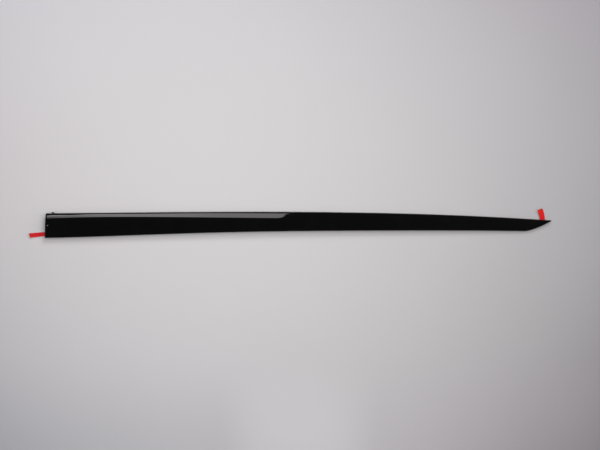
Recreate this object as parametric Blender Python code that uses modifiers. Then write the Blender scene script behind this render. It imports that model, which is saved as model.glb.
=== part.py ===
"""Car body side moulding: a gloss black blade, two foam tapes and their red release liners.

The moulding lies face up on its liners. Lengths are metres. X runs along the moulding from its
square end to its point, Y across it from the lower edge to the upper edge, and Z up from the
surface it lies on. The last step moves the whole part, so that its box is centred on the origin.
"""

import math

import bmesh
import bpy
import numpy as np

PART_NAME = "car_body_side_moulding"

# Blade seen from above. A curve's heights are its Bernstein control values, square end to point.
# The slanted end starts at a share of its mean slope and steepens towards the point.
LENGTH = 1.0140
POINT_LENGTH = 0.0498
POINT_WIDTH = 0.0014
POINT_START_SLOPE = 0.55
UPPER_EDGE = (0.0234, 0.0256, 0.0299, 0.0268, 0.0093)
LOWER_EDGE = (-0.0261, -0.0236, -0.0038, -0.0166, -0.0072, -0.0140)
CREASE_LINE = (0.0121, 0.0224, 0.0083, 0.0131, 0.0145, 0.0070)
CORNER_SOFTNESS = 0.0006
END_LEAN = 0.0024
END_LEAN_REACH = 0.060

# Blade seen from its end. The face falls from the crease to the lower edge, and the bevel to the upper.
CREASE_HEIGHT = (0.0122, 0.0122, 0.0122, 0.0058)
FACE_SLOPE = math.tan(math.radians(3.5))
FACE_CROWN = 0.9
BEVEL_SLOPE = math.tan(math.radians(20.0))
BEVEL_CROWN = 4.5
CREASE_SOFTNESS = 0.0005
EDGE_RADIUS = 0.0018
END_RADIUS = 0.0032

# Back of the blade
LIP_WIDTH = 0.0018
LIP_LIFT = 0.0010
SKIN = 0.0026
POCKET_PITCH = 0.042
POCKET_RIB = 0.0022
POCKET_DRAFT = 0.0005
NARROWEST_POCKET = 0.0050
LAND_MARGIN = 0.0015

# Locating nub on the upper edge
NUB_RADIUS = 0.00275
NUB_STANDOUT = 0.0024
NUB_THICKNESS = 0.0028
NUB_ALONG = 0.0142
NUB_LIFT = 0.0022

# Tapes and liners
UPPER_TAPE_WIDTH = 0.0105
LOWER_TAPE_WIDTH = 0.0086
TAPE_THICKNESS = 0.0011
FILM_THICKNESS = 0.0002
BOND_GAP = 0.0003
UPPER_TAPE_GAP = 0.0010
LOWER_TAPE_GAP = 0.0019
TAPE_SPACING = 0.0015
TAPE_START = 0.0060

# Pull tab of the upper liner, folded over at the point end
FOLD_FROM_POINT = 0.0173
FOLD_RADIUS = 0.0002
UPPER_TAB_REACH = 0.0202
UPPER_TAB_TILT = 0.0024
UPPER_TAB_LEAN = 0.0042
UPPER_TAB_RISE = 0.0025

# Pull tab of the lower liner, straight out of the square end
LOWER_TAB_REACH = 0.0330
LOWER_TAB_CREASE = 0.0120
LOWER_TAB_SWERVE = 0.0028
LOWER_TAB_RISE = 0.0022
LOWER_TAB_END_CUT = 0.0034

# Fineness of the curved surfaces
BLADE_STATIONS = 52
POINT_STATIONS = 12
TAPE_STATIONS = 32
EDGE_STEPS = 4
FACE_STEPS = 4
BEVEL_STEPS = 3
FOLD_STEPS = 4
TAB_STEPS = 6
NUB_SEGMENTS = 24

# Colours are linear
BLADE_COLOUR = (0.004, 0.004, 0.0045, 1.0)
TAPE_COLOUR = (0.030, 0.030, 0.032, 1.0)
LINER_COLOUR = (0.520, 0.018, 0.020, 1.0)

FOLD_ALONG = LENGTH - FOLD_FROM_POINT
LAND_HEIGHT = FILM_THICKNESS + BOND_GAP + TAPE_THICKNESS + BOND_GAP
CUT_MARGIN = 0.002


def clear_scene():
    for old in list(bpy.data.objects):
        bpy.data.objects.remove(old, do_unlink=True)


def new_collection(name):
    collection = bpy.data.collections.new(name)
    bpy.context.scene.collection.children.link(collection)
    return collection


def finish(name, colour, roughness):
    """A plain Principled BSDF of one colour."""
    material = bpy.data.materials.new(name)
    material.use_nodes = True
    shader = material.node_tree.nodes["Principled BSDF"]
    shader.inputs["Base Color"].default_value = colour
    shader.inputs["Roughness"].default_value = roughness
    shader.inputs["Metallic"].default_value = 0.0
    material.diffuse_color = colour
    return material


def bernstein(heights, t):
    """Smooth curve that starts at the first height, ends at the last and leans to those between."""
    degree = len(heights) - 1
    terms = [math.comb(degree, i) * t**i * (1 - t) ** (degree - i) * h for i, h in enumerate(heights)]
    return sum(terms)


def soft_max(a, b, softness):
    """The larger of two heights, with the corner between them rounded."""
    return 0.5 * (a + b + np.sqrt((a - b) ** 2 + softness**2))


def upper_edge(x):
    return bernstein(UPPER_EDGE, np.asarray(x) / LENGTH)


def lower_edge(x):
    """The long lower edge, and past its corner the slanted end, which rises ever faster to the point."""
    x = np.asarray(x)
    corner = LENGTH - POINT_LENGTH
    corner_y = bernstein(LOWER_EDGE, corner / LENGTH)
    point_y = bernstein(UPPER_EDGE, 1.0) - POINT_WIDTH
    share = (x - corner) / POINT_LENGTH
    rise = POINT_START_SLOPE * share + (1 - POINT_START_SLOPE) * np.maximum(share, 0.0) ** 2
    slanted = corner_y + (point_y - corner_y) * rise
    return soft_max(bernstein(LOWER_EDGE, x / LENGTH), slanted, CORNER_SOFTNESS)


def edge_inset(edge, x, distance):
    """A distance measured square to an edge, as its share along Y."""
    step = 0.0005
    slope = (edge(x + step) - edge(x - step)) / (2 * step)
    return distance * np.sqrt(1 + slope**2)


def lower_inset(x, distance):
    return lower_edge(x) + edge_inset(lower_edge, x, distance)


def upper_inset(x, distance):
    return upper_edge(x) - edge_inset(upper_edge, x, distance)


def face_height(x, y):
    """Height of the face and the bevel, which meet in a soft crest along the crease."""
    t = np.asarray(x) / LENGTH
    below = bernstein(CREASE_LINE, t) - y
    face_drop = FACE_SLOPE * below + FACE_CROWN * np.maximum(below, 0.0) ** 2
    bevel_drop = -BEVEL_SLOPE * below + BEVEL_CROWN * np.minimum(below, 0.0) ** 2
    return bernstein(CREASE_HEIGHT, t) - soft_max(face_drop, bevel_drop, CREASE_SOFTNESS)


def blade_section(x, end_drop):
    """Points from the foot of the lower wall, over face and bevel, to the foot of the upper wall."""
    low = float(lower_edge(x))
    high = float(upper_edge(x))
    width = high - low
    radius = min(EDGE_RADIUS, 0.3 * width)
    band = min(2 * CREASE_SOFTNESS, 0.1 * width)
    crease = float(bernstein(CREASE_LINE, x / LENGTH))
    crease = min(max(crease, low + radius + band), high - radius - band)

    turns = [0.5 * math.pi * i / EDGE_STEPS for i in range(EDGE_STEPS + 1)]
    insets = [radius * (1 - math.cos(turn)) for turn in turns]
    drops = [radius * (1 - math.sin(turn)) for turn in turns]
    face = np.linspace(low + radius, crease - band, FACE_STEPS + 1)[1:]
    bevel = np.linspace(crease + band, high - radius, BEVEL_STEPS + 1)[:-1]

    ys = [low + inset for inset in insets] + list(face) + [crease] + list(bevel)
    edge_drops = drops + [0.0] * (len(ys) - len(drops))
    ys += [high - inset for inset in reversed(insets)]
    edge_drops += list(reversed(drops))
    zs = [float(face_height(x, y)) - math.hypot(drop, end_drop) for y, drop in zip(ys, edge_drops)]
    return [(low, LIP_LIFT)] + list(zip(ys, zs)) + [(high, LIP_LIFT)]


def lean_back(x, y):
    """The square end leans: its upper corner stands back, and the lean fades out along the blade."""
    low = float(lower_edge(x))
    high = float(upper_edge(x))
    fade = max(0.0, 1.0 - x / END_LEAN_REACH)
    return x + END_LEAN * fade * (y - low) / (high - low)


def blade_stations():
    """Pairs of a place along the blade and how far the rounded end lowers the face there."""
    turns = [0.5 * math.pi * i / EDGE_STEPS for i in range(EDGE_STEPS + 1)]
    stations = [(END_RADIUS * (1 - math.cos(turn)), END_RADIUS * (1 - math.sin(turn))) for turn in turns]
    corner = LENGTH - POINT_LENGTH
    near_corner = 4 * CORNER_SOFTNESS
    long_run = np.linspace(END_RADIUS, corner - near_corner, BLADE_STATIONS + 1)[1:]
    turn_run = np.linspace(corner - near_corner, corner + near_corner, EDGE_STEPS + 2)[1:]
    point_run = np.linspace(corner + near_corner, LENGTH, POINT_STATIONS + 1)[1:]
    stations += [(float(x), 0.0) for x in [*long_run, *turn_run, *point_run]]
    return stations


def mesh_object(name, bm, collection, material=None):
    mesh = bpy.data.meshes.new(name)
    bm.to_mesh(mesh)
    bm.free()
    obj = bpy.data.objects.new(name, mesh)
    collection.objects.link(obj)
    if material is not None:
        mesh.materials.append(material)
    return obj


def loft(rings):
    """Closed solid through rings with the same number of points, capped at both ends."""
    bm = bmesh.new()
    rows = [[bm.verts.new(point) for point in ring] for ring in rings]
    count = len(rings[0])
    for row, following in zip(rows, rows[1:]):
        for i in range(count):
            j = (i + 1) % count
            bm.faces.new((row[i], row[j], following[j], following[i]))
    bm.faces.new(reversed(rows[0]))
    bm.faces.new(rows[-1])
    bmesh.ops.recalc_face_normals(bm, faces=bm.faces)
    return bm


def make_cutter(name, bm, collection):
    cutter = mesh_object(name, bm, collection)
    cutter.hide_render = True
    cutter.display_type = "WIRE"
    return cutter


def add_boolean(obj, other, operation):
    modifier = obj.modifiers.new(other.name, "BOOLEAN")
    modifier.operation = operation
    modifier.solver = "EXACT"
    modifier.object = other


def last_place(fits):
    """The furthest place along the blade at which a condition on X holds, square end first."""
    places = np.linspace(TAPE_START, LENGTH, 4001)
    holds = fits(places)
    first_failure = int(np.argmin(holds)) if not holds.all() else len(places)
    return float(places[max(first_failure - 1, 0)])


def recess_cutter(collection):
    """Shallow recess inside the lip. Its floor is the land that the tapes are stuck to."""
    end = last_place(lambda x: upper_inset(x, LIP_WIDTH) - lower_inset(x, LIP_WIDTH) > POINT_WIDTH)
    corner = LENGTH - POINT_LENGTH
    places = [*np.linspace(LIP_WIDTH + END_LEAN, corner, BLADE_STATIONS), *np.linspace(corner, end, 4)[1:]]
    rings = []
    for x in places:
        low = float(lower_inset(x, LIP_WIDTH))
        high = float(upper_inset(x, LIP_WIDTH))
        bottom = LIP_LIFT - CUT_MARGIN
        rings.append([(x, low, bottom), (x, low, LAND_HEIGHT), (x, high, LAND_HEIGHT), (x, high, bottom)])
    return make_cutter("recess_cutter", loft(rings), collection)


def lower_land_top(x):
    return lower_tape_middle(x) + LOWER_TAPE_WIDTH / 2 + LAND_MARGIN


def upper_land_bottom(x):
    return upper_tape_middle(x) - UPPER_TAPE_WIDTH / 2 - LAND_MARGIN


def pocket_ring(x, at_x):
    """Outline of a pocket across the blade, under a roof that keeps the skin's thickness."""
    low = float(lower_land_top(x))
    high = float(upper_land_bottom(x))
    bottom = LAND_HEIGHT - CUT_MARGIN
    roof_ys = np.linspace(low + POCKET_DRAFT, high - POCKET_DRAFT, 3)
    roof = [(at_x, float(y), float(face_height(x, y)) - SKIN) for y in roof_ys]
    return [(x, low, bottom)] + roof + [(x, high, bottom)]


def pockets_cutter(collection):
    """Row of pockets between the two lands, with a rib left between neighbours."""
    row_start = TAPE_START + POCKET_RIB
    row_end = last_place(lambda x: upper_land_bottom(x) - lower_land_top(x) > NARROWEST_POCKET)
    count = max(1, int((row_end - row_start) / POCKET_PITCH))
    bm = bmesh.new()
    for i in range(count):
        start = row_start + i * POCKET_PITCH
        end = start + POCKET_PITCH - POCKET_RIB
        rings = [pocket_ring(start, start + POCKET_DRAFT), pocket_ring(end, end - POCKET_DRAFT)]
        pocket = bpy.data.meshes.new("pocket")
        solid = loft(rings)
        solid.to_mesh(pocket)
        solid.free()
        bm.from_mesh(pocket)
        bpy.data.meshes.remove(pocket)
    return make_cutter("pockets_cutter", bm, collection)


def nub_solid(collection):
    """Half round nub on the upper wall, let into the wall for most of its diameter."""
    bm = bmesh.new()
    bmesh.ops.create_cone(
        bm, cap_ends=True, segments=NUB_SEGMENTS, radius1=NUB_RADIUS, radius2=NUB_RADIUS, depth=NUB_THICKNESS
    )
    nub = make_cutter("nub", bm, collection)
    centre_y = float(upper_edge(NUB_ALONG)) + NUB_STANDOUT - NUB_RADIUS
    nub.location = (NUB_ALONG, centre_y, NUB_LIFT + NUB_THICKNESS / 2)
    return nub


def make_moulding(parts, cutters, material):
    rings = []
    for x, end_drop in blade_stations():
        rings.append([(lean_back(x, y), y, z) for y, z in blade_section(x, end_drop)])
    moulding = mesh_object("moulding", loft(rings), parts, material)
    moulding.data.shade_smooth()
    moulding.data.set_sharp_from_angle(angle=math.radians(35))
    add_boolean(moulding, nub_solid(cutters), "UNION")
    add_boolean(moulding, recess_cutter(cutters), "DIFFERENCE")
    add_boolean(moulding, pockets_cutter(cutters), "DIFFERENCE")
    return moulding


def upper_tape_middle(x):
    """Middle line of the upper tape, which keeps its distance from the upper lip."""
    return upper_inset(x, LIP_WIDTH + UPPER_TAPE_GAP) - UPPER_TAPE_WIDTH / 2


def lower_tape_middle(x):
    """Middle line of the lower tape, which keeps its distance from the lower lip."""
    return lower_inset(x, LIP_WIDTH + LOWER_TAPE_GAP) + LOWER_TAPE_WIDTH / 2


def upper_tape_end():
    """The upper tape stops where the slanted end comes too near its lower side, and short of the fold."""
    room = last_place(
        lambda x: upper_tape_middle(x) - UPPER_TAPE_WIDTH / 2 > lower_inset(x, LIP_WIDTH + TAPE_SPACING)
    )
    return min(room, FOLD_ALONG - UPPER_TAPE_WIDTH / 2 - TAPE_SPACING)


def lower_tape_end():
    """The lower tape stops where the narrowing blade brings it up to the upper one."""
    return last_place(
        lambda x: upper_tape_middle(x) - UPPER_TAPE_WIDTH / 2
        > lower_tape_middle(x) + LOWER_TAPE_WIDTH / 2 + TAPE_SPACING
    )


def strip_pairs(places, middle, width, height):
    """Pairs of the upper and lower side of a strip that follows a middle line along the blade."""
    pairs = []
    for x in places:
        y = float(middle(x))
        pairs.append(((float(x), y + width / 2, height), (float(x), y - width / 2, height)))
    return pairs


def make_ribbon(name, pairs, thickness, parts, material):
    """Strip through pairs of side points, thickened evenly to both sides."""
    bm = bmesh.new()
    rows = [[bm.verts.new(point) for point in pair] for pair in pairs]
    for row, following in zip(rows, rows[1:]):
        bm.faces.new((row[0], row[1], following[1], following[0]))
    ribbon = mesh_object(name, bm, parts, material)
    ribbon.data.shade_smooth()
    ribbon.data.set_sharp_from_angle(angle=math.radians(35))
    solidify = ribbon.modifiers.new("thickness", "SOLIDIFY")
    solidify.thickness = thickness
    solidify.offset = 0.0
    return ribbon


def make_tapes(parts, material):
    height = FILM_THICKNESS + BOND_GAP + TAPE_THICKNESS / 2
    upper_places = np.linspace(TAPE_START, upper_tape_end(), TAPE_STATIONS)
    lower_places = np.linspace(TAPE_START, lower_tape_end(), TAPE_STATIONS)
    upper = strip_pairs(upper_places, upper_tape_middle, UPPER_TAPE_WIDTH, height)
    lower = strip_pairs(lower_places, lower_tape_middle, LOWER_TAPE_WIDTH, height)
    return [
        make_ribbon("upper_foam_tape", upper, TAPE_THICKNESS, parts, material),
        make_ribbon("lower_foam_tape", lower, TAPE_THICKNESS, parts, material),
    ]


def upper_liner_pairs():
    """Along the upper tape, round a diagonal fold, then out over the upper edge as the pull tab."""
    half = UPPER_TAPE_WIDTH / 2
    flat = FILM_THICKNESS / 2
    places = np.linspace(TAPE_START, FOLD_ALONG - 2 * half, TAPE_STATIONS)
    pairs = strip_pairs(places, upper_tape_middle, UPPER_TAPE_WIDTH, flat)

    fold_y = float(upper_tape_middle(FOLD_ALONG))
    slope = (fold_y - float(upper_tape_middle(FOLD_ALONG - 2 * half))) / (2 * half)
    ahead = np.array([1.0, slope, 0.0]) / math.hypot(1.0, slope)
    across = np.array([-ahead[1], ahead[0], 0.0])
    outward = (ahead - across) / math.sqrt(2)
    fold_middle = np.array([FOLD_ALONG, fold_y, 0.0])
    for i in range(FOLD_STEPS + 1):
        turn = math.pi * (i / FOLD_STEPS - 0.5)
        lift = np.array([0.0, 0.0, flat + FOLD_RADIUS + FOLD_RADIUS * math.sin(turn)])
        middle = fold_middle + outward * FOLD_RADIUS * math.cos(turn) + lift
        pairs.append((tuple(middle + half * (ahead + across)), tuple(middle - half * (ahead + across))))

    layer = flat + 2 * FOLD_RADIUS
    start = 1.2 * half
    reach = float(upper_edge(FOLD_ALONG)) - fold_y + UPPER_TAB_REACH
    free_from = float(upper_edge(FOLD_ALONG)) - fold_y
    for i in range(TAB_STEPS + 1):
        out = start + (reach - start) * i / TAB_STEPS
        free = max(0.0, (out - free_from) / (reach - free_from))
        lean = UPPER_TAB_TILT * free + UPPER_TAB_LEAN * free**2 * (1.5 - 0.5 * free)
        growth = UPPER_TAB_TILT + UPPER_TAB_LEAN * free * (3.0 - 1.5 * free)
        turn = math.atan(growth / (reach - free_from))
        side = ahead * math.cos(turn) + across * math.sin(turn)
        height = np.array([0.0, 0.0, layer + UPPER_TAB_RISE * free**2])
        middle = fold_middle + across * out - ahead * lean + height
        pairs.append((tuple(middle + half * side), tuple(middle - half * side)))
    return pairs


def lower_liner_pairs():
    """The pull tab from its cut end to the square end of the blade, then along the lower tape."""
    half = LOWER_TAPE_WIDTH / 2
    flat = FILM_THICKNESS / 2
    start_y = float(lower_tape_middle(0.0))
    slope = (float(lower_tape_middle(TAPE_START)) - start_y) / TAPE_START
    pairs = []
    for i in range(TAB_STEPS):
        out = LOWER_TAB_REACH * (1 - i / TAB_STEPS)
        past_crease = max(0.0, out - LOWER_TAB_CREASE) / (LOWER_TAB_REACH - LOWER_TAB_CREASE)
        y = start_y - slope * out - LOWER_TAB_SWERVE * out / LOWER_TAB_REACH
        z = flat + LOWER_TAB_RISE * past_crease
        cut = LOWER_TAB_END_CUT if i == 0 else 0.0
        pairs.append(((-out, y + half, z), (-out + cut, y - half, z)))
    places = np.linspace(0.0, lower_tape_end(), TAPE_STATIONS)
    return pairs + strip_pairs(places, lower_tape_middle, LOWER_TAPE_WIDTH, flat)


def make_liners(parts, material):
    return [
        make_ribbon("upper_release_liner", upper_liner_pairs(), FILM_THICKNESS, parts, material),
        make_ribbon("lower_release_liner", lower_liner_pairs(), FILM_THICKNESS, parts, material),
    ]


def centre_on_origin(pieces, guides, collection):
    """Parent pieces and their cutters to an empty that centres the part's box on the Z axis."""
    bpy.context.view_layer.update()
    depsgraph = bpy.context.evaluated_depsgraph_get()
    corners = []
    for piece in pieces:
        shown = piece.evaluated_get(depsgraph)
        corners += [shown.matrix_world @ vertex.co for vertex in shown.data.vertices]
    corners = np.array(corners)
    middle = (corners.min(axis=0) + corners.max(axis=0)) / 2
    placement = bpy.data.objects.new("placement", None)
    collection.objects.link(placement)
    for obj in [*pieces, *guides]:
        obj.parent = placement
    placement.location = (-middle[0], -middle[1], 0.0)


def main():
    clear_scene()
    parts = new_collection(PART_NAME)
    cutters = new_collection("cutters")
    gloss_black = finish("gloss_black", BLADE_COLOUR, 0.06)
    foam_grey = finish("foam_grey", TAPE_COLOUR, 0.80)
    film_red = finish("film_red", LINER_COLOUR, 0.35)
    pieces = [make_moulding(parts, cutters, gloss_black)]
    pieces += make_tapes(parts, foam_grey)
    pieces += make_liners(parts, film_red)
    centre_on_origin(pieces, list(cutters.objects), parts)


main()
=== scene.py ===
"""Looks of a car body side moulding: a gloss black blade on two foam tapes with red release liners.

The blade, the tapes and the liners are surfaces worked out with numpy in the moulding's own frame,
X from its square end to its point, Y from its lower edge to its upper edge, and then moved to where
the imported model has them. Lengths are metres, lamps are watts and colours are linear.
"""

import math

import bpy
import numpy as np
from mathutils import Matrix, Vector


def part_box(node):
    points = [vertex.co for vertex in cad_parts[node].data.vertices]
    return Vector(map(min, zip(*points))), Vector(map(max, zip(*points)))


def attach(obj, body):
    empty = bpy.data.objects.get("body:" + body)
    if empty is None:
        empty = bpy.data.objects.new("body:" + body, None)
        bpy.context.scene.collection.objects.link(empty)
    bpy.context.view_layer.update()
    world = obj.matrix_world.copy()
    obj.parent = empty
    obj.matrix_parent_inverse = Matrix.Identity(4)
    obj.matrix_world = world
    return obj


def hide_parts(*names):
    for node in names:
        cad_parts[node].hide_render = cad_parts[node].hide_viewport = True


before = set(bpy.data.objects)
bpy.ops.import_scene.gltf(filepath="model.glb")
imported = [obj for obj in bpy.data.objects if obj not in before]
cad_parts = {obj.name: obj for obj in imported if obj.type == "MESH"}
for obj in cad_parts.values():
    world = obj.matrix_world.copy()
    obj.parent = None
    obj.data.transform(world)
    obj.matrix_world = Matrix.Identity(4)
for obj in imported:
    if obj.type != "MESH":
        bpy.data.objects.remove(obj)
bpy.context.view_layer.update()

# Blade seen from above, as in the solids. A curve's heights are its Bernstein control values.
LENGTH = 1.0140
POINT_LENGTH = 0.0498
POINT_WIDTH = 0.0014
POINT_START_SLOPE = 0.55
UPPER_EDGE = (0.0234, 0.0256, 0.0299, 0.0268, 0.0093)
LOWER_EDGE = (-0.0261, -0.0236, -0.0038, -0.0166, -0.0072, -0.0140)
CREASE_LINE = (0.0121, 0.0224, 0.0083, 0.0131, 0.0145, 0.0070)
CORNER_SOFTNESS = 0.0006
END_LEAN = 0.0024
END_LEAN_REACH = 0.060

# Blade seen from its end
CREASE_HEIGHT = (0.0122, 0.0122, 0.0122, 0.0058)
FACE_SLOPE = math.tan(math.radians(3.5))
FACE_CROWN = 0.9
BEVEL_SLOPE = math.tan(math.radians(20.0))
BEVEL_CROWN = 4.5
CREASE_SOFTNESS = 0.0005
EDGE_RADIUS = 0.0018
END_RADIUS = 0.0032
FOOT_RADIUS = 0.0003

# Back of the blade
LIP_WIDTH = 0.0018
LIP_LIFT = 0.0010
SKIN = 0.0026
POCKET_PITCH = 0.042
POCKET_RIB = 0.0022
POCKET_DRAFT = 0.0005
NARROWEST_POCKET = 0.0050
LAND_MARGIN = 0.0015
RECESS_DRAFT = 0.0001

# Locating nub
NUB_RADIUS = 0.00275
NUB_STANDOUT = 0.0024
NUB_THICKNESS = 0.0028
NUB_ALONG = 0.0142
NUB_LIFT = 0.0022
NUB_EDGE = 0.0003

# Tapes and liners
UPPER_TAPE_WIDTH = 0.0105
LOWER_TAPE_WIDTH = 0.0086
TAPE_THICKNESS = 0.0011
FILM_THICKNESS = 0.0002
BOND_GAP = 0.0003
UPPER_TAPE_GAP = 0.0010
LOWER_TAPE_GAP = 0.0019
TAPE_SPACING = 0.0015
TAPE_START = 0.0060
LAND_HEIGHT = FILM_THICKNESS + BOND_GAP + TAPE_THICKNESS + BOND_GAP

# Sides of the tapes: bulge, cut back, and the ripples' heights, paces in radians a metre and shift
TAPE_BULGE = 0.00008
TAPE_CUT_BACK = 0.00006
TAPE_RIPPLE = (0.00005, 520.0, 1.3)
TAPE_FINE_RIPPLE = (0.00004, 1330.0)

# Upper pull tab. It stays a little inside the solids' box.
FOLD_ALONG = LENGTH - 0.0173
FOLD_RADIUS = 0.0002
UPPER_TAB_REACH = 0.0202
UPPER_TAB_TILT = 0.0024
UPPER_TAB_LEAN = 0.0042
UPPER_TAB_RISE = 0.0025
UPPER_TAB_CUP = 0.0006
UPPER_TAB_CORNER = 0.0026
BOX_MARGIN = 0.00002
EDGE_SHADE_REACH = 0.0035

# Lower pull tab
LOWER_TAB_REACH = 0.0330
LOWER_TAB_CREASE = 0.0120
# Width of the painted shade along the lower tab's crease
LOWER_TAB_CREASE_SHADE_WIDTH = 0.0009
LOWER_TAB_SWERVE = 0.0028
LOWER_TAB_RISE = 0.0022
LOWER_TAB_CUP = 0.0005
LOWER_TAB_END_CUT = 0.0034
LOWER_TAB_END_CUT_RUN = 0.006
# Painted light: share of the warmer tip red on the lower tab
LOWER_TAB_TIP_LIGHT = 0.35
# Painted light near the square end: how fast the fuller red falls off outwards and inwards
PAINTED_LIGHT_RUN_OUT = 0.014
PAINTED_LIGHT_RUN_IN = 0.003

# Painted glint near the square end and dark spot on the upper tab, in the moulding's own X and Y
GLINT_PLACE = (0.0070, -0.0012)
GLINT_RADIUS = 0.00072
TAB_FLECK_PLACE = (0.9942, 0.0312)
TAB_FLECK_RADIUS = 0.0013

# Steps of the grids: places along a piece, which are its rows, and columns round or across it
LONG_STEP = 0.0026
NUB_STEP = 0.00025
CORNER_STEP = 0.0004
SLANT_STEP = 0.0010
BEFORE_CORNER = 0.004
PAST_CORNER = 0.006
TIP_RUN = 0.002
CLOSEST_PLACES = 0.00004
SQUARE_END_ROWS = 13
TIP_ROWS = 9
EDGE_COLUMNS = 10
FACE_COLUMNS = 34
CREST_COLUMNS = 11
BEVEL_COLUMNS = 18
FOOT_COLUMNS = 5
LOWER_WALL_COLUMNS = 5
UPPER_WALL_COLUMNS = 26
ROOF_COLUMNS = 9
TAPE_ROWS = 400
UPPER_RUN_ROWS = 260
LOWER_RUN_ROWS = 240
FOLD_ROWS = 9
UPPER_TAB_ROWS = 46
TAB_CORNER_ROWS = 15
LOWER_TAB_ROWS = 70
FILM_COLUMNS = 13
FLOOR_ROWS = 20
BEND_ROWS = 13
COVE_COLUMNS = 96
SOFT_BOX_ROWS = 60
SOFT_BOX_COLUMNS = 24

# The photograph, 600 by 450 pixels: its scale at the edges' level, the column of the square end and
# the row of Y = 0
PIXEL = 0.0020
PICTURE_MIDDLE = (300.0, 225.0)
SQUARE_END_PIXEL = 44.6
AXIS_PIXEL = 225.0
IMAGE_WIDTH = 600
SENSOR_WIDTH = 0.036
LENS = 0.050
EDGE_LEVEL = 0.006
FRAME_HALF = PIXEL * IMAGE_WIDTH / 2

# Paper floor, and the soft box, which leans at 45 degrees over the blade's square half
FLOOR_RADIUS = 2.6
COVE_RADIUS = 0.7
COVE_TOP = 1.6
SOFT_BOX_PLACE = (-0.5, 1.30, 1.30)
SOFT_BOX_LEFT = -0.615
SOFT_BOX_RIGHT = 0.4765
SOFT_BOX_RIGHT_SLANT = 0.06
SOFT_BOX_CORNER = 0.015
SOFT_BOX_CORNER_RUN = (0.105, 0.145)
SOFT_BOX_TOP = -0.50
SOFT_BOX_BOTTOM = (0.050, 0.143)
SOFT_BOX_BOTTOM_RUN = (-0.20, 0.30)
SOFT_BOX_NOTCH = (0.035, -0.47, 0.06)
SOFT_BOX_RADIANCE = 3.35

# Place, size and watts of each lamp
LAMPS = {
    "overhead": ((-0.45, 0.0, 3.0), (4.0, 3.0), 41.2),
    "high_right": ((1.5, 0.3, 2.0), (1.6, 1.6), 19.1),
    "near": ((0.6, 1.7, 1.2), (1.6, 0.8), 27.4),
    "side": ((2.8, 0.2, 1.1), (1.4, 1.4), 26.6),
    "fill": ((-0.3, -2.6, 1.4), (2.4, 1.2), 5.8),
}


def bernstein(heights, t):
    """Sum of the Bernstein polynomials of t, each times its control height."""
    degree = len(heights) - 1
    return sum(math.comb(degree, i) * t**i * (1 - t) ** (degree - i) * h for i, h in enumerate(heights))


def soft_max(a, b, softness):
    """Larger of a and b with a rounded corner: half of a + b + sqrt((a - b)^2 + softness^2)."""
    return 0.5 * (a + b + np.sqrt((a - b) ** 2 + softness**2))


def smooth_step(value, start, end):
    """0 before start and 1 after end, with 3s^2 - 2s^3 between."""
    share = np.clip((value - start) / (end - start), 0.0, 1.0)
    return share * share * (3 - 2 * share)


def upper_edge(x):
    """The long upper edge, one Bernstein curve over the whole length."""
    return bernstein(UPPER_EDGE, np.asarray(x) / LENGTH)


def lower_edge(x):
    """The long lower edge, and past its corner the slanted end, linear plus a square term in X."""
    x = np.asarray(x)
    corner = LENGTH - POINT_LENGTH
    corner_y = bernstein(LOWER_EDGE, corner / LENGTH)
    point_y = bernstein(UPPER_EDGE, 1.0) - POINT_WIDTH
    share = (x - corner) / POINT_LENGTH
    rise = POINT_START_SLOPE * share + (1 - POINT_START_SLOPE) * np.maximum(share, 0.0) ** 2
    slanted = corner_y + (point_y - corner_y) * rise
    return soft_max(bernstein(LOWER_EDGE, x / LENGTH), slanted, CORNER_SOFTNESS)


def edge_inset(edge, x, distance):
    """A distance square to an edge as its share along Y: distance times sqrt(1 + slope^2)."""
    step = 0.0005
    slope = (edge(x + step) - edge(x - step)) / (2 * step)
    return distance * np.sqrt(1 + slope**2)


def lower_inset(x, distance):
    """Line inside the lower edge at an even distance from it."""
    return lower_edge(x) + edge_inset(lower_edge, x, distance)


def upper_inset(x, distance):
    """Line inside the upper edge at an even distance from it."""
    return upper_edge(x) - edge_inset(upper_edge, x, distance)


def upper_tape_middle(x):
    """Half the tape's width below the line that lip and gap leave inside the upper edge."""
    return upper_inset(x, LIP_WIDTH + UPPER_TAPE_GAP) - UPPER_TAPE_WIDTH / 2


def lower_tape_middle(x):
    """Half the tape's width above the line that lip and gap leave inside the lower edge."""
    return lower_inset(x, LIP_WIDTH + LOWER_TAPE_GAP) + LOWER_TAPE_WIDTH / 2


def lower_land_top(x):
    """Inner side of the lower tape's land, a margin above the tape."""
    return lower_tape_middle(x) + LOWER_TAPE_WIDTH / 2 + LAND_MARGIN


def upper_land_bottom(x):
    """Inner side of the upper tape's land, a margin below the tape."""
    return upper_tape_middle(x) - UPPER_TAPE_WIDTH / 2 - LAND_MARGIN


def last_place(fits):
    """Furthest X at which a condition still holds, counted from the tapes' start."""
    places = np.linspace(TAPE_START, LENGTH, 4001)
    holds = fits(places)
    first_failure = int(np.argmin(holds)) if not holds.all() else len(places)
    return float(places[max(first_failure - 1, 0)])


def face_height(x, y):
    """Crease height less the soft maximum of the face's and the bevel's drop, each linear plus square."""
    t = np.asarray(x) / LENGTH
    below = bernstein(CREASE_LINE, t) - y
    face_drop = FACE_SLOPE * below + FACE_CROWN * np.maximum(below, 0.0) ** 2
    bevel_drop = -BEVEL_SLOPE * below + BEVEL_CROWN * np.minimum(below, 0.0) ** 2
    return bernstein(CREASE_HEIGHT, t) - soft_max(face_drop, bevel_drop, CREASE_SOFTNESS)


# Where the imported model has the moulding's own origin, and where the middle of the picture lies
FRAME_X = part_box("moulding")[0][0]
FRAME_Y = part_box("moulding")[0][1] - float(lower_edge(0.0))
PICTURE_X = FRAME_X + (PICTURE_MIDDLE[0] - SQUARE_END_PIXEL) * PIXEL
PICTURE_Y = FRAME_Y - (PICTURE_MIDDLE[1] - AXIS_PIXEL) * PIXEL


def to_frame(points):
    """Points of the moulding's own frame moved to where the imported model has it."""
    return points + np.array([FRAME_X, FRAME_Y, 0.0])


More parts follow.
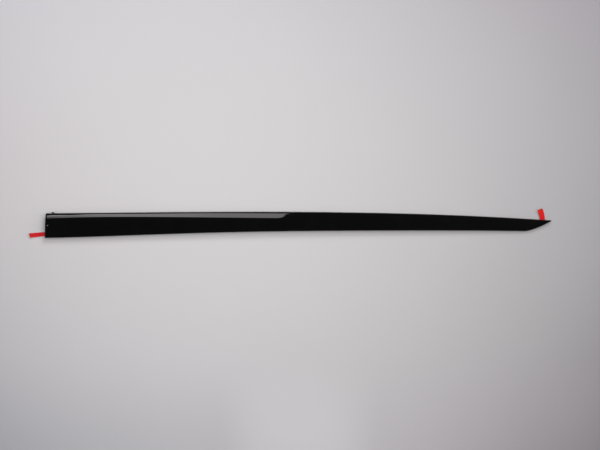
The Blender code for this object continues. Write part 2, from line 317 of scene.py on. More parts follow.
class Wire:
    """One socket of a material. Arithmetic on it adds Math nodes."""

    def __init__(self, finish, socket):
        self.finish = finish
        self.socket = socket

    def maths(self, operation, *values):
        """Math node of one operation on wires and numbers."""
        return self.finish.node("ShaderNodeMath", {"operation": operation}, dict(enumerate(values)))

    def __add__(self, other):
        return self.maths("ADD", self, other)

    def __sub__(self, other):
        return self.maths("SUBTRACT", self, other)

    def __rsub__(self, other):
        return self.maths("SUBTRACT", other, self)

    def __mul__(self, other):
        return self.maths("MULTIPLY", self, other)

    def __truediv__(self, other):
        return self.maths("DIVIDE", self, other)

    __radd__ = __add__
    __rmul__ = __mul__

    def above(self, edge, width):
        """0 below the edge and 1 above it, with a smooth change over the width."""
        settings = {"interpolation_type": "SMOOTHSTEP"}
        sockets = {"Value": self, "From Min": edge - width / 2, "From Max": edge + width / 2}
        return self.finish.node("ShaderNodeMapRange", settings, sockets)

    def held(self, limit):
        """The value itself between minus and plus the limit, and the limit past it."""
        return self.finish.node("ShaderNodeClamp", None, {"Value": self, "Min": -limit, "Max": limit})


class Finish:
    """A material with one Principled shader, and the calls that add nodes to it."""

    def __init__(self, name):
        self.material = bpy.data.materials.new(name)
        self.material.use_nodes = True
        self.tree = self.material.node_tree
        self.shader = self.tree.nodes["Principled BSDF"]

    def node(self, kind, settings=None, sockets=None, output=0):
        """Adds a node, sets what it says before its sockets, and returns one of its outputs."""
        made = self.tree.nodes.new(kind)
        for key, value in (settings or {}).items():
            setattr(made, key, value)
        for key, value in (sockets or {}).items():
            self.feed(made.inputs[key], value)
        return Wire(self, made.outputs[output])

    def feed(self, socket, value):
        """Links a wire to a socket, or sets the socket's own value."""
        if isinstance(value, Wire):
            self.tree.links.new(value.socket, socket)
        else:
            socket.default_value = value

    def set(self, **values):
        """Sets or links the shader's sockets; an underscore in a name stands for a space."""
        for key, value in values.items():
            self.feed(self.shader.inputs[key.replace("_", " ")], value)

    def place(self):
        """Object coordinates in metres, which are also the frame's."""
        return self.node("ShaderNodeTexCoord", output="Object")

    def stretched(self, x, y, z):
        """Object coordinates with each axis scaled by itself."""
        sockets = {0: self.place(), 1: (x, y, z)}
        return self.node("ShaderNodeVectorMath", {"operation": "MULTIPLY"}, sockets)

    def axis(self, name):
        """One of the three object coordinates."""
        return self.node("ShaderNodeSeparateXYZ", None, {0: self.place()}, output=name)

    def measure(self, operation, *vectors):
        """A number that a Vector Math node makes of vectors, such as a length or a distance."""
        sockets = dict(enumerate(vectors))
        return self.node("ShaderNodeVectorMath", {"operation": operation}, sockets, output="Value")

    def noise(self, scale, detail=2.0, place=None):
        """Cloudy noise about 0.5, scale times a metre."""
        sockets = {"Vector": place or self.place(), "Scale": scale, "Detail": detail}
        return self.node("ShaderNodeTexNoise", {"noise_dimensions": "3D"}, sockets)

    def spot(self, x, y, radius):
        """1 in a ragged spot seen along Z and 0 outside: distance plus noise, stepped at the radius."""
        away = self.measure("DISTANCE", self.stretched(1.0, 1.0, 0.0), (x, y, 0.0))
        ragged = (self.noise(1300.0, 3.0) - 0.5) * radius * 2.4
        return 1 - (away + ragged).above(radius, radius * 0.6)

    def cells(self, scale):
        """Distance to the nearest of the scattered points of a cell pattern."""
        return self.node("ShaderNodeTexVoronoi", None, {"Vector": self.place(), "Scale": scale})

    def attribute(self, name):
        """A number that the mesh stores for each vertex."""
        return self.node("ShaderNodeAttribute", {"attribute_name": name}, None, output="Fac")

    def ray(self, kind):
        """1 for rays of one kind and 0 for the others."""
        return self.node("ShaderNodeLightPath", output=kind)

    def blend(self, share, first, second):
        """First colour at share 0 and second at share 1."""
        sockets = {0: share, 6: first, 7: second}
        return self.node("ShaderNodeMix", {"data_type": "RGBA"}, sockets, output=2)

    def mixed(self, red, green, blue):
        """Colour of three wires."""
        return self.node("ShaderNodeCombineColor", None, {0: red, 1: green, 2: blue})

    def bump(self, height, depth, below=None):
        """Normal of a relief whose height of 1 stands depth metres out of the surface."""
        sockets = {"Height": height, "Distance": depth, "Strength": 1.0}
        if below is not None:
            sockets["Normal"] = below
        return self.node("ShaderNodeBump", None, sockets)


def colour(red, green, blue):
    """Colour as a socket takes it, with its fourth value at 1."""
    return (red, green, blue, 1.0)


def gloss_black():
    """Deep black paint under clear coat on the outside, and plain satin plastic on the back."""
    finish = Finish("gloss_black_paint")
    painted = finish.attribute("painted")
    peel_normal = finish.bump(finish.noise(420.0, 1.0), 0.0000016)
    grain = finish.noise(2600.0, 3.0)
    grain_normal = finish.bump(grain * (1 - painted), 0.000030, peel_normal)
    haze = finish.noise(38.0, 3.0).above(0.62, 0.30)
    speck = (1 - finish.cells(240.0).above(0.035, 0.02)) * painted
    paint = finish.blend(haze, colour(0.0024, 0.0024, 0.0025), colour(0.0032, 0.0032, 0.0033))
    dust_and_painted_glint = finish.blend(speck * 0.05, paint, colour(0.20, 0.20, 0.19))
    # Painted glint: a pale spot on the paint just inside the square end's round
    painted_glint_and_tab_spot = finish.spot(FRAME_X + GLINT_PLACE[0], FRAME_Y + GLINT_PLACE[1], GLINT_RADIUS)
    dust_and_painted_glint = finish.blend(painted_glint_and_tab_spot, dust_and_painted_glint, colour(0.60, 0.60, 0.58))
    streaks = finish.noise(60.0, 3.0, finish.stretched(1.0, 6.0, 6.0))
    plastic = finish.blend(streaks, colour(0.010, 0.010, 0.011), colour(0.017, 0.017, 0.018))
    paint_roughness = 0.03
    plastic_roughness = 0.42
    smoother = haze * 0.02 + paint_roughness - plastic_roughness
    finish.set(
        Base_Color=finish.blend(painted, plastic, dust_and_painted_glint),
        Roughness=painted * smoother + plastic_roughness,
        Coat_Weight=painted * 0.6,
        Normal=grain_normal,
    )
    finish.set(Coat_Roughness=0.02, IOR=1.45, Coat_IOR=1.5, Specular_IOR_Level=0.35)
    return finish.material


def foam():
    """Dark closed cell foam with fine pores and a slightly dusty cut side."""
    finish = Finish("acrylic_foam")
    pores = finish.cells(5200.0)
    body = finish.noise(700.0, 3.0)
    finish.set(
        Base_Color=finish.blend(body, colour(0.022, 0.022, 0.024), colour(0.048, 0.048, 0.050)),
        Roughness=pores * 0.12 + 0.78,
        Normal=finish.bump(pores + body * 0.5, 0.00006),
    )
    return finish.material


def red_film():
    """Satin red film with drawn streaks along it, fine crumples and a darker painted shade at the crease.

    Painted shade also darkens the upper tab where it comes out from under the edge. Painted light makes
    it a fuller red where it comes out of the square end, and warmer towards the tabs' tips, most at the
    upper tab's tip, which has one dark spot.
    """
    finish = Finish("red_release_film")
    streaks = finish.noise(90.0, 3.0, finish.stretched(0.6, 14.0, 6.0))
    crumple = finish.noise(160.0, 2.0)
    deep = finish.blend(streaks, colour(0.52, 0.003, 0.009), colour(0.60, 0.007, 0.013))
    # Painted light: a warmer red towards the tabs' free ends, where they curl up into the light
    with_tip_light = finish.blend(finish.attribute("tip"), deep, colour(0.66, 0.014, 0.005))
    # Painted light: a fuller red where the lower tab comes out of the square end's shadow
    with_painted_light = finish.blend(finish.attribute("painted_light_near_end"), with_tip_light, colour(0.92, 0.004, 0.012))
    # Painted shade: darker along the lower tab's crease and where the upper tab leaves the edge
    with_painted_shade = finish.blend(finish.attribute("crease") * 0.45, with_painted_light, colour(0.50, 0.001, 0.003))
    painted_glint_and_tab_spot = finish.spot(FRAME_X + TAB_FLECK_PLACE[0], FRAME_Y + TAB_FLECK_PLACE[1], TAB_FLECK_RADIUS)
    finish.set(
        Base_Color=finish.blend(painted_glint_and_tab_spot * 0.8, with_painted_shade, colour(0.03, 0.012, 0.012)),
        Roughness=crumple * 0.14 + 0.34,
        Normal=finish.bump(crumple * 0.7 + streaks * 0.3, 0.00010),
    )
    finish.set(Specular_IOR_Level=0.4)
    return finish.material


def grid_faces(rows, columns, wrap):
    """Corner numbers of a grid's quads, row by row; with wrap the last column meets the first."""
    last = columns if wrap else columns - 1
    row, column = np.meshgrid(np.arange(rows - 1), np.arange(last), indexing="ij")
    following = (column + 1) % columns
    corners = [row * columns + column, row * columns + following]
    corners += [(row + 1) * columns + following, (row + 1) * columns + column]
    return np.stack(corners, axis=-1).reshape(-1, 4)


def surface(name, points, wrap=False, caps=False, sharp=30.0):
    """Mesh object through a grid of points (rows, columns, 3), faces turned outwards by their order."""
    rows, columns = points.shape[:2]
    faces = [tuple(face) for face in grid_faces(rows, columns, wrap)]
    if caps:
        faces.append(tuple(range(columns))[::-1])
        faces.append(tuple(range((rows - 1) * columns, rows * columns)))
    mesh = bpy.data.meshes.new(name)
    mesh.from_pydata(to_frame(points).reshape(-1, 3), [], faces)
    mesh.shade_smooth()
    mesh.set_sharp_from_angle(angle=math.radians(sharp))
    piece = bpy.data.objects.new(name, mesh)
    bpy.context.scene.collection.objects.link(piece)
    return piece


def studio_surface(name, points, wrap, material):
    """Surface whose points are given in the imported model's frame."""
    piece = surface(name, points - np.array([FRAME_X, FRAME_Y, 0.0]), wrap=wrap)
    piece.data.materials.append(material)
    return piece


def mark(piece, name, values):
    """Stores one number for each vertex, for the material to read."""
    layer = piece.data.attributes.new(name, "FLOAT", "POINT")
    layer.data.foreach_set("value", np.ascontiguousarray(values, dtype=np.float32).ravel())


def pocket_row():
    """Start of each pocket along the blade, and the length that each one has.

    They stand an even pitch apart, as many as end before the room between the lands is too narrow.
    """
    start = TAPE_START + POCKET_RIB
    end = last_place(lambda x: upper_land_bottom(x) - lower_land_top(x) > NARROWEST_POCKET)
    count = max(1, int((end - start) / POCKET_PITCH))
    return start + POCKET_PITCH * np.arange(count), POCKET_PITCH - POCKET_RIB


def recess_ends():
    """Start and end of the recess along the blade.

    It starts a lip and the lean past the square end, and ends where the room between the lips is
    down to the point's width.
    """
    start = LIP_WIDTH + END_LEAN
    end = last_place(lambda x: upper_inset(x, LIP_WIDTH) - lower_inset(x, LIP_WIDTH) > POINT_WIDTH)
    return start, end


def blade_places():
    """Stations along the blade: even steps, and closer ones where its shape turns.

    Over the square end's round they follow 1 - cos of an even angle.
    """
    turn = np.linspace(0.0, math.pi / 2, SQUARE_END_ROWS)
    corner = LENGTH - POINT_LENGTH
    starts, length = pocket_row()
    recess_start, recess_end = recess_ends()
    parts = [
        END_RADIUS * (1 - np.cos(turn)),
        np.arange(END_RADIUS, corner, LONG_STEP),
        np.arange(NUB_ALONG - NUB_RADIUS, NUB_ALONG + NUB_RADIUS, NUB_STEP),
        np.arange(corner - BEFORE_CORNER, corner + PAST_CORNER, CORNER_STEP),
        np.arange(corner + PAST_CORNER, LENGTH - TIP_RUN, SLANT_STEP),
        np.linspace(LENGTH - TIP_RUN, LENGTH, TIP_ROWS),
        [recess_start, recess_start + RECESS_DRAFT, recess_end, recess_end + RECESS_DRAFT],
    ]
    for shift in (0.0, POCKET_DRAFT, length - POCKET_DRAFT, length):
        parts.append(starts + shift)
    places = np.unique(np.round(np.concatenate(parts), 7))
    keep = np.concatenate([[True], np.diff(places) > CLOSEST_PLACES])
    keep[-1] = True
    return places[keep]


def blade_top(x):
    """Y and Z of the upper side: lower edge's round, face, crease, bevel and upper edge's round.

    Each long edge is a quarter circle. Its drop and the square end's, a quarter circle along X, join
    as the root of the sum of their squares.
    """
    low, high = lower_edge(x), upper_edge(x)
    width = high - low
    radius = np.minimum(EDGE_RADIUS, 0.3 * width)
    band = np.minimum(4 * CREASE_SOFTNESS, 0.1 * width)
    crease = np.clip(bernstein(CREASE_LINE, x / LENGTH), low + radius + band, high - radius - band)
    turn = np.linspace(0.0, math.pi / 2, EDGE_COLUMNS)[None, :]
    inset = radius * (1 - np.cos(turn))
    drop = radius * (1 - np.sin(turn))
    share = np.linspace(0.0, 1.0, FACE_COLUMNS)[None, 1:]
    face = low + radius + (crease - band - low - radius) * share
    crest = crease + band * np.linspace(-1.0, 1.0, CREST_COLUMNS)[None, 1:]
    share = np.linspace(0.0, 1.0, BEVEL_COLUMNS)[None, 1:-1]
    bevel = crease + band + (high - radius - crease - band) * share
    y = np.concatenate([low + inset, face, crest, bevel, (high - inset)[:, ::-1]], axis=1)
    flat = np.zeros((len(x), face.shape[1] + crest.shape[1] + bevel.shape[1]))
    edge_drop = np.concatenate([drop, flat, drop[:, ::-1]], axis=1)
    short_of_end = np.maximum(END_RADIUS - x, 0.0)
    end_drop = END_RADIUS - np.sqrt(np.maximum(END_RADIUS**2 - short_of_end**2, 0.0))
    z = face_height(x, y) - np.hypot(edge_drop, end_drop)
    return y, np.minimum(z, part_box("moulding")[1][2])


def foot_round(x):
    """Radius of the quarter circle at the foot of the walls, and its inset and lift from foot to wall."""
    radius = np.minimum(FOOT_RADIUS, 0.2 * (upper_edge(x) - lower_edge(x)))
    turn = np.linspace(0.0, math.pi / 2, FOOT_COLUMNS)[None, :]
    return radius, radius * (1 - np.sin(turn)), radius * (1 - np.cos(turn))


def lower_wall(x, top):
    """Y and Z of the lower wall, from its foot straight up to the top."""
    low = lower_edge(x)
    radius, inset, lift = foot_round(x)
    rise = np.linspace(0.0, 1.0, LOWER_WALL_COLUMNS)[None, 1:-1]
    y = np.concatenate([low + inset, low + 0 * rise], axis=1)
    z = np.concatenate([LIP_LIFT + lift, LIP_LIFT + radius + (top - LIP_LIFT - radius) * rise], axis=1)
    return y, z


def upper_wall(x, top):
    """Y and Z of the upper wall, from the top down to its foot, with the nub pushed out of it.

    The nub is a part of a circle in X and Y, and a smooth step at its lower and its upper side.
    """
    high = upper_edge(x)
    radius, inset, lift = foot_round(x)
    fall = np.linspace(1.0, 0.0, UPPER_WALL_COLUMNS)[None, 1:-1]
    z = LIP_LIFT + radius + (top - LIP_LIFT - radius) * fall
    away = np.sqrt(np.maximum(NUB_RADIUS**2 - (x - NUB_ALONG) ** 2, 0.0)) - (NUB_RADIUS - NUB_STANDOUT)
    nub_top = NUB_LIFT + NUB_THICKNESS
    inside = smooth_step(z, NUB_LIFT - NUB_EDGE, NUB_LIFT)
    inside = inside * (1 - smooth_step(z, nub_top, nub_top + NUB_EDGE))
    y = np.concatenate([high + np.maximum(away, 0.0) * inside, (high - inset)[:, ::-1]], axis=1)
    z = np.concatenate([z, (LIP_LIFT + lift)[:, ::-1]], axis=1)
    return y, z


def blade_back(x):
    """Y and Z of the under side: lip, recess with its two lands, and pockets with the skin for a roof.

    Where there is no recess or pocket, its columns lie flat.
    """
    low, high = lower_edge(x), upper_edge(x)
    width = high - low
    middle = (low + high) / 2
    recess_low = np.minimum(lower_inset(x, LIP_WIDTH), middle - 0.05 * width)
    recess_high = np.maximum(upper_inset(x, LIP_WIDTH), middle + 0.05 * width)
    span = recess_high - recess_low
    pocket_low = np.minimum(lower_land_top(x), recess_low + 0.45 * span)
    pocket_high = np.maximum(upper_land_bottom(x), recess_low + 0.55 * span)

    recess_start, recess_end = recess_ends()
    begun = np.clip((x - recess_start) / RECESS_DRAFT, 0.0, 1.0)
    ended = np.clip((recess_end + RECESS_DRAFT - x) / RECESS_DRAFT, 0.0, 1.0)
    land = LIP_LIFT + (LAND_HEIGHT - LIP_LIFT) * (begun * ended)
    starts, length = pocket_row()
    into = np.minimum(x - starts[None, :], starts[None, :] + length - x) / POCKET_DRAFT
    hollow = np.clip(into, 0.0, 1.0).max(axis=1, keepdims=True)
    draft = POCKET_DRAFT * hollow
    share = np.linspace(1.0, 0.0, ROOF_COLUMNS)[None, :]
    roof_y = pocket_low + draft + (pocket_high - pocket_low - 2 * draft) * share
    roof_z = land + (face_height(x, roof_y) - SKIN - land) * hollow
    lip = LIP_LIFT + 0 * x
    y = [recess_high, recess_high, pocket_high, roof_y, pocket_low, recess_low, recess_low]
    z = [lip, land, land, roof_z, land, land, lip]
    return np.concatenate(y, axis=1), np.concatenate(z, axis=1)


def leaned(x, y, reach):
    """X moved by the square end's lean, which grows evenly with Y and fades evenly over its reach."""
    low = lower_edge(x)
    fade = np.maximum(0.0, 1 - x / reach)
    return x + END_LEAN * fade * (y - low) / (upper_edge(x) - low)


def blade_points():
    """The whole moulding as one closed profile carried along X, and 1 where it is painted.

    The profile goes up the lower wall, over the top, down the upper wall and back underneath.
    """
    x = blade_places()[:, None]
    top_y, top_z = blade_top(x)
    low_y, low_z = lower_wall(x, top_z[:, :1])
    high_y, high_z = upper_wall(x, top_z[:, -1:])
    outer_y = np.concatenate([low_y, top_y, high_y], axis=1)
    outer_z = np.concatenate([low_z, top_z, high_z], axis=1)
    back_y, back_z = blade_back(x)
    recess_start = recess_ends()[0]
    outer = np.stack([leaned(x, outer_y, END_LEAN_REACH), outer_y, outer_z], axis=-1)
    back = np.stack([leaned(x, back_y, recess_start), back_y, back_z], axis=-1)
    painted = np.concatenate([np.ones(outer_z.shape), np.zeros(back_z.shape)], axis=1)
    return np.concatenate([outer, back], axis=1), painted


def make_blade(material):
    """The moulding, closed at both ends."""
    points, painted = blade_points()
    blade = surface("gloss_blade", points, wrap=True, caps=True)
    blade.data.materials.append(material)
    mark(blade, "painted", painted)
    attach(blade, "root")
    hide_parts("moulding")


def tape_points(start, end, middle, width):
    """Rectangle with softly bulging sides carried along the tape's middle line.

    A side bulges by a square in its height, and two sine waves along X give it a fine ripple.
    """
    x = np.linspace(start, end, TAPE_ROWS)[:, None]
    up = np.array([-1.0, -0.5, 0.0, 0.5, 1.0, 1.0, 1.0, 0.5, 0.0, -0.5, -1.0, -1.0])[None, :]
    side = np.array([1.0, 1.0, 1.0, 1.0, 1.0, 0.0, -1.0, -1.0, -1.0, -1.0, -1.0, 0.0])[None, :]
    bulge = TAPE_BULGE * side * (1 - up**2) - TAPE_CUT_BACK * side
    height, pace, shift = TAPE_RIPPLE
    fine_height, fine_pace = TAPE_FINE_RIPPLE
    ripple = height * np.sin(x * pace + side * shift) + fine_height * np.sin(x * fine_pace)
    y = middle(x) + side * width / 2 + bulge + ripple * side
    z = FILM_THICKNESS + BOND_GAP + TAPE_THICKNESS / 2 + up * TAPE_THICKNESS / 2
    return np.stack([x + 0 * y, y, z + 0 * y], axis=-1)


def make_tape(name, end, middle, width, material):
    """One foam tape from the tapes' start to its end."""
    points = tape_points(TAPE_START, end, middle, width)
    tape = surface(name, points, wrap=True, caps=True, sharp=50.0)
    tape.data.materials.append(material)
    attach(tape, "root")
    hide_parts(name.replace("_strip", "_tape"))


def upper_tape_end():
    """Where the upper tape comes too near the lower lip, or else before the fold."""
    room = last_place(
        lambda x: upper_tape_middle(x) - UPPER_TAPE_WIDTH / 2 > lower_inset(x, LIP_WIDTH + TAPE_SPACING)
    )
    return min(room, FOLD_ALONG - UPPER_TAPE_WIDTH / 2 - TAPE_SPACING)


def lower_tape_end():
    """Where the lower tape comes too near the upper tape."""
    return last_place(
        lambda x: upper_tape_middle(x) - UPPER_TAPE_WIDTH / 2
        > lower_tape_middle(x) + LOWER_TAPE_WIDTH / 2 + TAPE_SPACING
    )


def across_film(first, second):
    """Straight lines from the points of one side of a film to those of the other."""
    share = np.linspace(0.0, 1.0, FILM_COLUMNS)[None, :, None]
    return first[:, None, :] * (1 - share) + second[:, None, :] * share


def strip_sides(x, middle, width, height):
    """Upper and lower side of a strip that follows a middle line at one height."""
    y = middle(x)
    upper = np.stack([x, y + width / 2, np.full_like(x, height)], axis=-1)
    lower = np.stack([x, y - width / 2, np.full_like(x, height)], axis=-1)
    return upper, lower


def make_film(name, points, marks, material):
    """Film of even thickness on a grid of points, with its marks for the material."""
    film = surface(name, points, sharp=60.0)
    for mark_name, values in marks.items():
        mark(film, mark_name, values)
    film.data.materials.append(material)
    solid = film.modifiers.new("film_thickness", "SOLIDIFY")
    solid.thickness = FILM_THICKNESS
    solid.offset = 0.0
    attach(film, "root")
    return film


def diagonal_fold(middle, ahead, across, half):
    """Both sides of the strip round a half circle whose axis is the diagonal of ahead and across."""
    outward = (ahead - across) / math.sqrt(2)
    turn = np.linspace(-math.pi / 2, math.pi / 2, FOLD_ROWS)[:, None]
    lift = np.array([0.0, 0.0, 1.0]) * (FILM_THICKNESS / 2 + FOLD_RADIUS + FOLD_RADIUS * np.sin(turn))
    fold = middle + outward * FOLD_RADIUS * np.cos(turn) + lift
    return fold + half * (ahead + across), fold - half * (ahead + across)


def upper_tab(middle, ahead, across, half):
    """Both sides of the strip past the fold, and each row's distance past the edge and share of the tab.

    The tab leans back by a linear, a square and a cubic term of its share and rises by a square one.
    Its corner nearer the point is a quarter circle, and the tab is longer by what that takes off its
    reach: the radius times sin + cos - 1 of the end's turn.
    """
    end_turn = math.atan((UPPER_TAB_TILT + 1.5 * UPPER_TAB_LEAN) / UPPER_TAB_REACH)
    end_turn += math.atan(ahead[1] / ahead[0])
    corner_loss = UPPER_TAB_CORNER * (math.sin(end_turn) + math.cos(end_turn) - 1)
    free_from = float(upper_edge(FOLD_ALONG)) - middle[1]
    reach = free_from + UPPER_TAB_REACH + corner_loss - BOX_MARGIN
    straight = np.linspace(1.1 * half, reach - UPPER_TAB_CORNER, UPPER_TAB_ROWS)
    corner_turn = np.linspace(0.0, math.pi / 2, TAB_CORNER_ROWS)[1:]
    out = np.append(straight, straight[-1] + UPPER_TAB_CORNER * np.sin(corner_turn))[:, None]
    cut = np.append(np.zeros(len(straight)), UPPER_TAB_CORNER * (1 - np.cos(corner_turn)))[:, None]

    free = np.clip((out - free_from) / (reach - free_from), 0.0, 1.0)
    lean = UPPER_TAB_TILT * free + UPPER_TAB_LEAN * free**2 * (1.5 - 0.5 * free)
    growth = UPPER_TAB_TILT + UPPER_TAB_LEAN * free * (3.0 - 1.5 * free)
    turn = np.arctan(growth / (reach - free_from))
    side = ahead * np.cos(turn) + across * np.sin(turn)
    layer = FILM_THICKNESS / 2 + 2 * FOLD_RADIUS
    rise = np.array([0.0, 0.0, 1.0]) * (layer + UPPER_TAB_RISE * free**2)
    line = middle + across * out - ahead * lean + rise
    sides = (line + (half - cut) * side, line - half * side)
    return sides, (out - free_from)[:, 0], free[:, 0]


def make_upper_liner(material):
    """Strip under the upper tape, folded over on the diagonal, and the tab that stands out of the edge.

    The tab is cupped by a square across it times its share to the power 1.5. The painted shade where
    it comes out is a bell of the distance past the edge, and the painted light at its tip grows with
    its share.
    """
    half = UPPER_TAPE_WIDTH / 2
    flat = FILM_THICKNESS / 2
    run = np.linspace(TAPE_START, FOLD_ALONG - 2 * half, UPPER_RUN_ROWS)
    run_sides = strip_sides(run, upper_tape_middle, UPPER_TAPE_WIDTH, flat)

    middle = np.array([FOLD_ALONG, float(upper_tape_middle(FOLD_ALONG)), 0.0])
    slope = (middle[1] - float(upper_tape_middle(FOLD_ALONG - 2 * half))) / (2 * half)
    ahead = np.array([1.0, slope, 0.0]) / math.hypot(1.0, slope)
    across = np.array([-ahead[1], ahead[0], 0.0])
    fold_sides = diagonal_fold(middle, ahead, across, half)
    tab_sides, past_edge, free = upper_tab(middle, ahead, across, half)
    upper, lower = [np.concatenate(sides) for sides in zip(run_sides, fold_sides, tab_sides)]

    points = across_film(upper, lower)
    spread = np.linspace(-1.0, 1.0, points.shape[1])[None, :]
    before_tab = np.zeros(len(upper) - len(free))
    along = np.append(before_tab, free)[:, None]
    painted_edge_shade = np.append(before_tab, np.exp(-((past_edge / EDGE_SHADE_REACH) ** 2)))[:, None]
    points[..., 2] += UPPER_TAB_CUP * along**1.5 * (spread**2 - 0.3)
    points[..., 2] = np.maximum(points[..., 2], flat)
    marks = {
        # Painted shade where the tab comes out from under the blade's edge, kept in the crease mark
        "crease": painted_edge_shade * np.ones_like(spread),
        "tip": along * np.ones_like(spread),
        "painted_light_near_end": np.zeros(points.shape[:2]),
    }
    liner = make_film("upper_red_liner", points, marks, material)
    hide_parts("upper_release_liner")


def make_lower_liner(material):
    """Strip under the lower tape, and the tab that runs on out of the square end with a soft crease.

    The tab swerves evenly, rises evenly past its crease and is cupped by a square across it. The painted
    shade at the crease is a bell along X, and the painted light, a fuller red, falls off exponentially
    from the square end.
    """
    half = LOWER_TAPE_WIDTH / 2
    flat = FILM_THICKNESS / 2
    start_y = float(lower_tape_middle(0.0))
    slope = (float(lower_tape_middle(TAPE_START)) - start_y) / TAPE_START
    out = np.linspace(LOWER_TAB_REACH, 0.0, LOWER_TAB_ROWS)[:-1]
    past = np.clip((out - LOWER_TAB_CREASE) / (LOWER_TAB_REACH - LOWER_TAB_CREASE), 0.0, 1.0)
    y = start_y - slope * out - LOWER_TAB_SWERVE * out / LOWER_TAB_REACH
    z = flat + LOWER_TAB_RISE * past
    cut = LOWER_TAB_END_CUT * np.maximum(0.0, 1 - (LOWER_TAB_REACH - out) / LOWER_TAB_END_CUT_RUN)
    run = np.linspace(0.0, lower_tape_end(), LOWER_RUN_ROWS)
    run_upper, run_lower = strip_sides(run, lower_tape_middle, LOWER_TAPE_WIDTH, flat)
    upper = np.concatenate([np.stack([-out, y + half, z], axis=-1), run_upper])
    lower = np.concatenate([np.stack([-out + cut, y - half, z], axis=-1), run_lower])

    points = across_film(upper, lower)
    spread = np.linspace(-1.0, 1.0, points.shape[1])[None, :]
    free = np.append(smooth_step(out, 0.0, LOWER_TAB_REACH), np.zeros(len(run)))[:, None]
    points[..., 2] += LOWER_TAB_CUP * free * (spread**2 - 0.2)
    points[..., 2] = np.maximum(points[..., 2], flat)
    x = points[..., 0]
    marks = {
        # Painted shade along the tab's crease
        "crease": np.exp(-(((x + LOWER_TAB_CREASE) / LOWER_TAB_CREASE_SHADE_WIDTH) ** 2)),
        # Painted light at the tab's tip
        "tip": LOWER_TAB_TIP_LIGHT * free * np.ones_like(spread),
        # Painted light: a fuller red near the square end
        "painted_light_near_end": np.exp(np.minimum(x, 0.0) / PAINTED_LIGHT_RUN_OUT - np.maximum(x, 0.0) / PAINTED_LIGHT_RUN_IN),
    }
    liner = make_film("lower_red_liner", points, marks, material)
    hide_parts("lower_release_liner")


def make_camera():
    """Camera straight above the middle of the picture.

    It stands above the edges by the picture's real width times lens over sensor width.
    """
    data = bpy.data.cameras.new("camera")
    data.sensor_width = SENSOR_WIDTH * 1000
    data.lens = LENS * 1000
    camera = bpy.data.objects.new("camera", data)
    height = EDGE_LEVEL + PIXEL * IMAGE_WIDTH * LENS / SENSOR_WIDTH
    camera.location = (PICTURE_X, PICTURE_Y, height)
    bpy.context.scene.collection.objects.link(camera)
    bpy.context.scene.camera = camera


def paper_with_painted_light():
    """Pale matt paper with a painted pool of light: brightest above left of the middle, darker and bluer
    towards the sides and below.

    Its painted level is a cubic in the picture's own axes, from -1 to 1 over its width, with a paler
    painted area at the picture's foot. Past the picture it fades to an even painted slope. Far from the
    middle, where the lamps hardly reach, the paper glows a little to the camera and in reflections, so
    that the backdrop is as pale as the floor and still lights nothing.
    """
    finish = Finish("pale_paper_painted_light")
    across = ((finish.axis("X") - PICTURE_X) / FRAME_HALF).held(1.03)
    up = ((finish.axis("Y") - PICTURE_Y) / FRAME_HALF).held(0.78)
    # Painted light: the level follows the lamps' fall-off over the picture, not the paper
    level = 0.629 - up * 0.018 - up * up * 0.145 - across * 0.215 - across * up * 0.030
    level = level + across * across * (across * 0.048 + up * 0.087 - 0.127)
    # Paler painted area at the picture's foot, less on its left and more on its right
    low = 1 - up.above(-0.58, 0.34)
    painted_light_patch = 1 - (across * across).above(0.04, 0.08)
    left = 1 - across.above(-0.10, 0.40)
    right = across.above(0.90, 0.30)
    level = level * (1 + low * (painted_light_patch * 0.13 - left * 0.07 + right * 0.08))
    away = finish.measure("LENGTH", finish.place())
    near = 1 - away.above(0.97, 0.4)
    far = away.above(1.3, 1.0)
    level = near * level + (1 - near) * (0.48 - across * 0.14 - up * 0.07)
    mottle = finish.noise(5.0, 3.0) * 0.016 - 0.008
    shade = (level + mottle) * (1 - far * 0.5)
    # Painted tint of the light, varying over the picture
    red = 1.023 + near * across * (across * 0.007 - up * 0.014 + up * up * 0.057 - 0.004)
    blue = 1.021 + near * (up * up * 0.053 - 0.020 + across * (across * 0.020 + up * 0.009 + 0.006))
    seen = finish.ray("Is Camera Ray") + finish.ray("Is Glossy Ray") + finish.ray("Is Transmission Ray")
    glow = far * seen * 0.40
    finish.set(
        Base_Color=finish.mixed(shade * red, shade * 0.989, shade * blue),
        Roughness=0.85,
        Emission_Color=finish.mixed(glow * 1.01, glow * 0.99, glow),
    )
    finish.set(Specular_IOR_Level=0.2, Emission_Strength=1.0)
    return finish.material


def make_cove():
    """Round floor that turns up into a low wall: line, quarter circle and line revolved about Z."""
    bend = np.linspace(0.0, math.pi / 2, BEND_ROWS)[1:]
    level = np.linspace(0.0001, FLOOR_RADIUS, FLOOR_ROWS)
    radius = np.concatenate([level, FLOOR_RADIUS + COVE_RADIUS * np.sin(bend)])
    height = np.concatenate([np.zeros(len(level)), COVE_RADIUS * (1 - np.cos(bend))])
    radius = np.append(radius, radius[-1])[:, None]
    height = np.append(height, COVE_TOP)[:, None]
    angle = np.linspace(0.0, 2 * math.pi, COVE_COLUMNS + 1)[None, :-1]
    points = np.stack([radius * np.cos(angle), radius * np.sin(angle), height + 0 * angle], axis=-1)
    cove = studio_surface("cove", points, True, paper_with_painted_light())


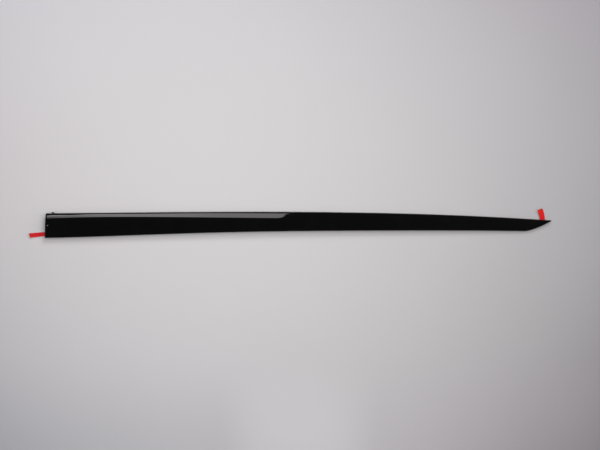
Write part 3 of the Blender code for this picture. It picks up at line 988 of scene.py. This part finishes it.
def soft_box_glow():
    """White glow, even to the right and fading upwards from the lower side to the left, most at the end."""
    finish = Finish("soft_box_glow")
    across = finish.axis("X") - SOFT_BOX_PLACE[0]
    down = (finish.axis("Y") - SOFT_BOX_PLACE[1]) * math.sqrt(2)
    left = 1 - across.above(-0.38, 0.36)
    far = across.above(0.10, 0.30)
    end = 1 - across.above(-0.555, 0.09)
    dimmed = left * (1 - down.above(-0.035, 0.17)) * (end * 0.24 + 0.41)
    lifted = left * (down - end * 0.02).above(-0.01, 0.06) * (end * 0.42 + 0.36)
    glow = 1 - dimmed + lifted - far * 0.2
    tone = finish.mixed(glow * 1.055, glow, glow * 1.025)
    finish.set(Base_Color=colour(0.0, 0.0, 0.0), Emission_Color=tone, Specular_IOR_Level=0.0)
    finish.set(Emission_Strength=SOFT_BOX_RADIANCE)
    return finish.material


def make_soft_box():
    """Glowing card that only reflections show. It lights the bevel and stops short of the point's half.

    A point of the card is its middle plus across times X plus down times (0, 1, -1) / sqrt(2). Its
    lower side drops to the right by a smooth step, less a bell shaped notch, and its right side is
    slanted, with the lower corner drawn out by another smooth step.
    """
    share = np.linspace(0.0, 1.0, SOFT_BOX_ROWS)[:, None]
    across = SOFT_BOX_LEFT + (SOFT_BOX_RIGHT - SOFT_BOX_LEFT) * share
    left_bottom, right_bottom = SOFT_BOX_BOTTOM
    bottom = left_bottom + (right_bottom - left_bottom) * smooth_step(across, *SOFT_BOX_BOTTOM_RUN)
    depth, middle, width = SOFT_BOX_NOTCH
    bottom = bottom - depth * np.exp(-(((across - middle) / width) ** 2))
    down = SOFT_BOX_TOP + (bottom - SOFT_BOX_TOP) * np.linspace(0.0, 1.0, SOFT_BOX_COLUMNS)[None, :]
    corner = SOFT_BOX_CORNER * smooth_step(down, *SOFT_BOX_CORNER_RUN)
    spread = across + (SOFT_BOX_RIGHT_SLANT * down + corner) * share**4
    fall = down / math.sqrt(2)
    points = np.stack([spread, fall, -fall], axis=-1) + np.array(SOFT_BOX_PLACE)
    card = studio_surface("soft_box_card", points, False, soft_box_glow())
    card.visible_camera = False
    card.visible_diffuse = False
    card.visible_shadow = False


def add_lamp(name, place, size, watts):
    """Rectangular lamp that faces the frame's origin, unseen by the camera and in reflections."""
    data = bpy.data.lights.new(name, "AREA")
    data.shape = "RECTANGLE"
    data.size, data.size_y = size
    data.energy = watts
    lamp = bpy.data.objects.new(name, data)
    bpy.context.scene.collection.objects.link(lamp)
    lamp.location = place
    lamp.rotation_euler = (-Vector(place)).to_track_quat("-Z", "Y").to_euler()
    lamp.visible_glossy = False
    lamp.visible_camera = False


def make_world():
    """Faint even grey light from all sides."""
    world = bpy.data.worlds.new("studio")
    world.use_nodes = True
    world.node_tree.nodes["Background"].inputs[0].default_value = colour(0.03, 0.03, 0.03)
    bpy.context.scene.world = world


def make_studio():
    """Floor, world, soft box and lamps."""
    make_cove()
    make_world()
    make_soft_box()
    for name, (place, size, watts) in LAMPS.items():
        add_lamp(name, place, size, watts)
    bpy.context.scene.view_settings.view_transform = "Standard"


make_camera()
make_blade(gloss_black())
foam_grey = foam()
make_tape("upper_foam_strip", upper_tape_end(), upper_tape_middle, UPPER_TAPE_WIDTH, foam_grey)
make_tape("lower_foam_strip", lower_tape_end(), lower_tape_middle, LOWER_TAPE_WIDTH, foam_grey)
film_red = red_film()
make_upper_liner(film_red)
make_lower_liner(film_red)
make_studio()
